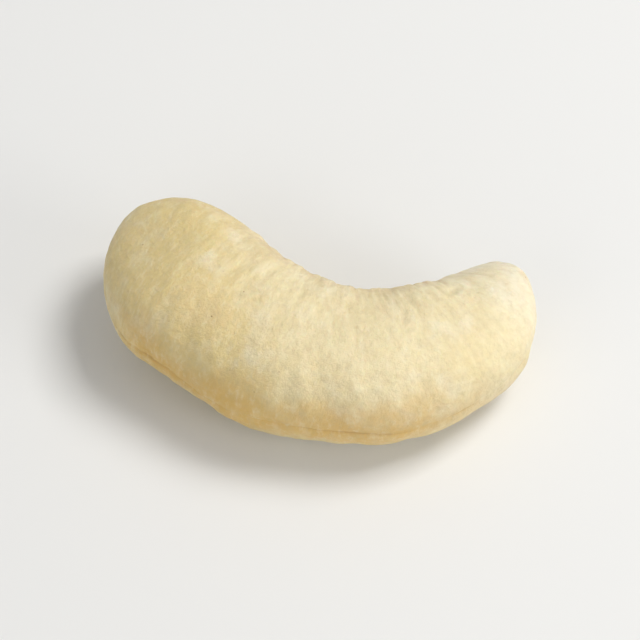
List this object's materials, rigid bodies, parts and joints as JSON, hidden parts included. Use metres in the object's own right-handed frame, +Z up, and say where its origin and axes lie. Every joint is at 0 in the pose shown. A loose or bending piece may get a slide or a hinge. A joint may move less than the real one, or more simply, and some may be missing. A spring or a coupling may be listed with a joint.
{
  "type": "cashew nut",
  "caption": "Whole shelled cashew nut: a pale, kidney-shaped kernel with a fine seam along its edges, lying on its side.",
  "frame": {"origin": "on the surface that the kernel lies on, under the middle of its box", "axes": "+X along the kernel towards the small lobe, +Y towards the hollow side of the bend, +Z up, across the kernel's thickness"},
  "size_m": [0.027, 0.0158, 0.0094],
  "materials": {
    "kernel": "satin"
  },
  "bodies": {
    "root": {"kernel": "kernel"}
  },
  "joints": []
}
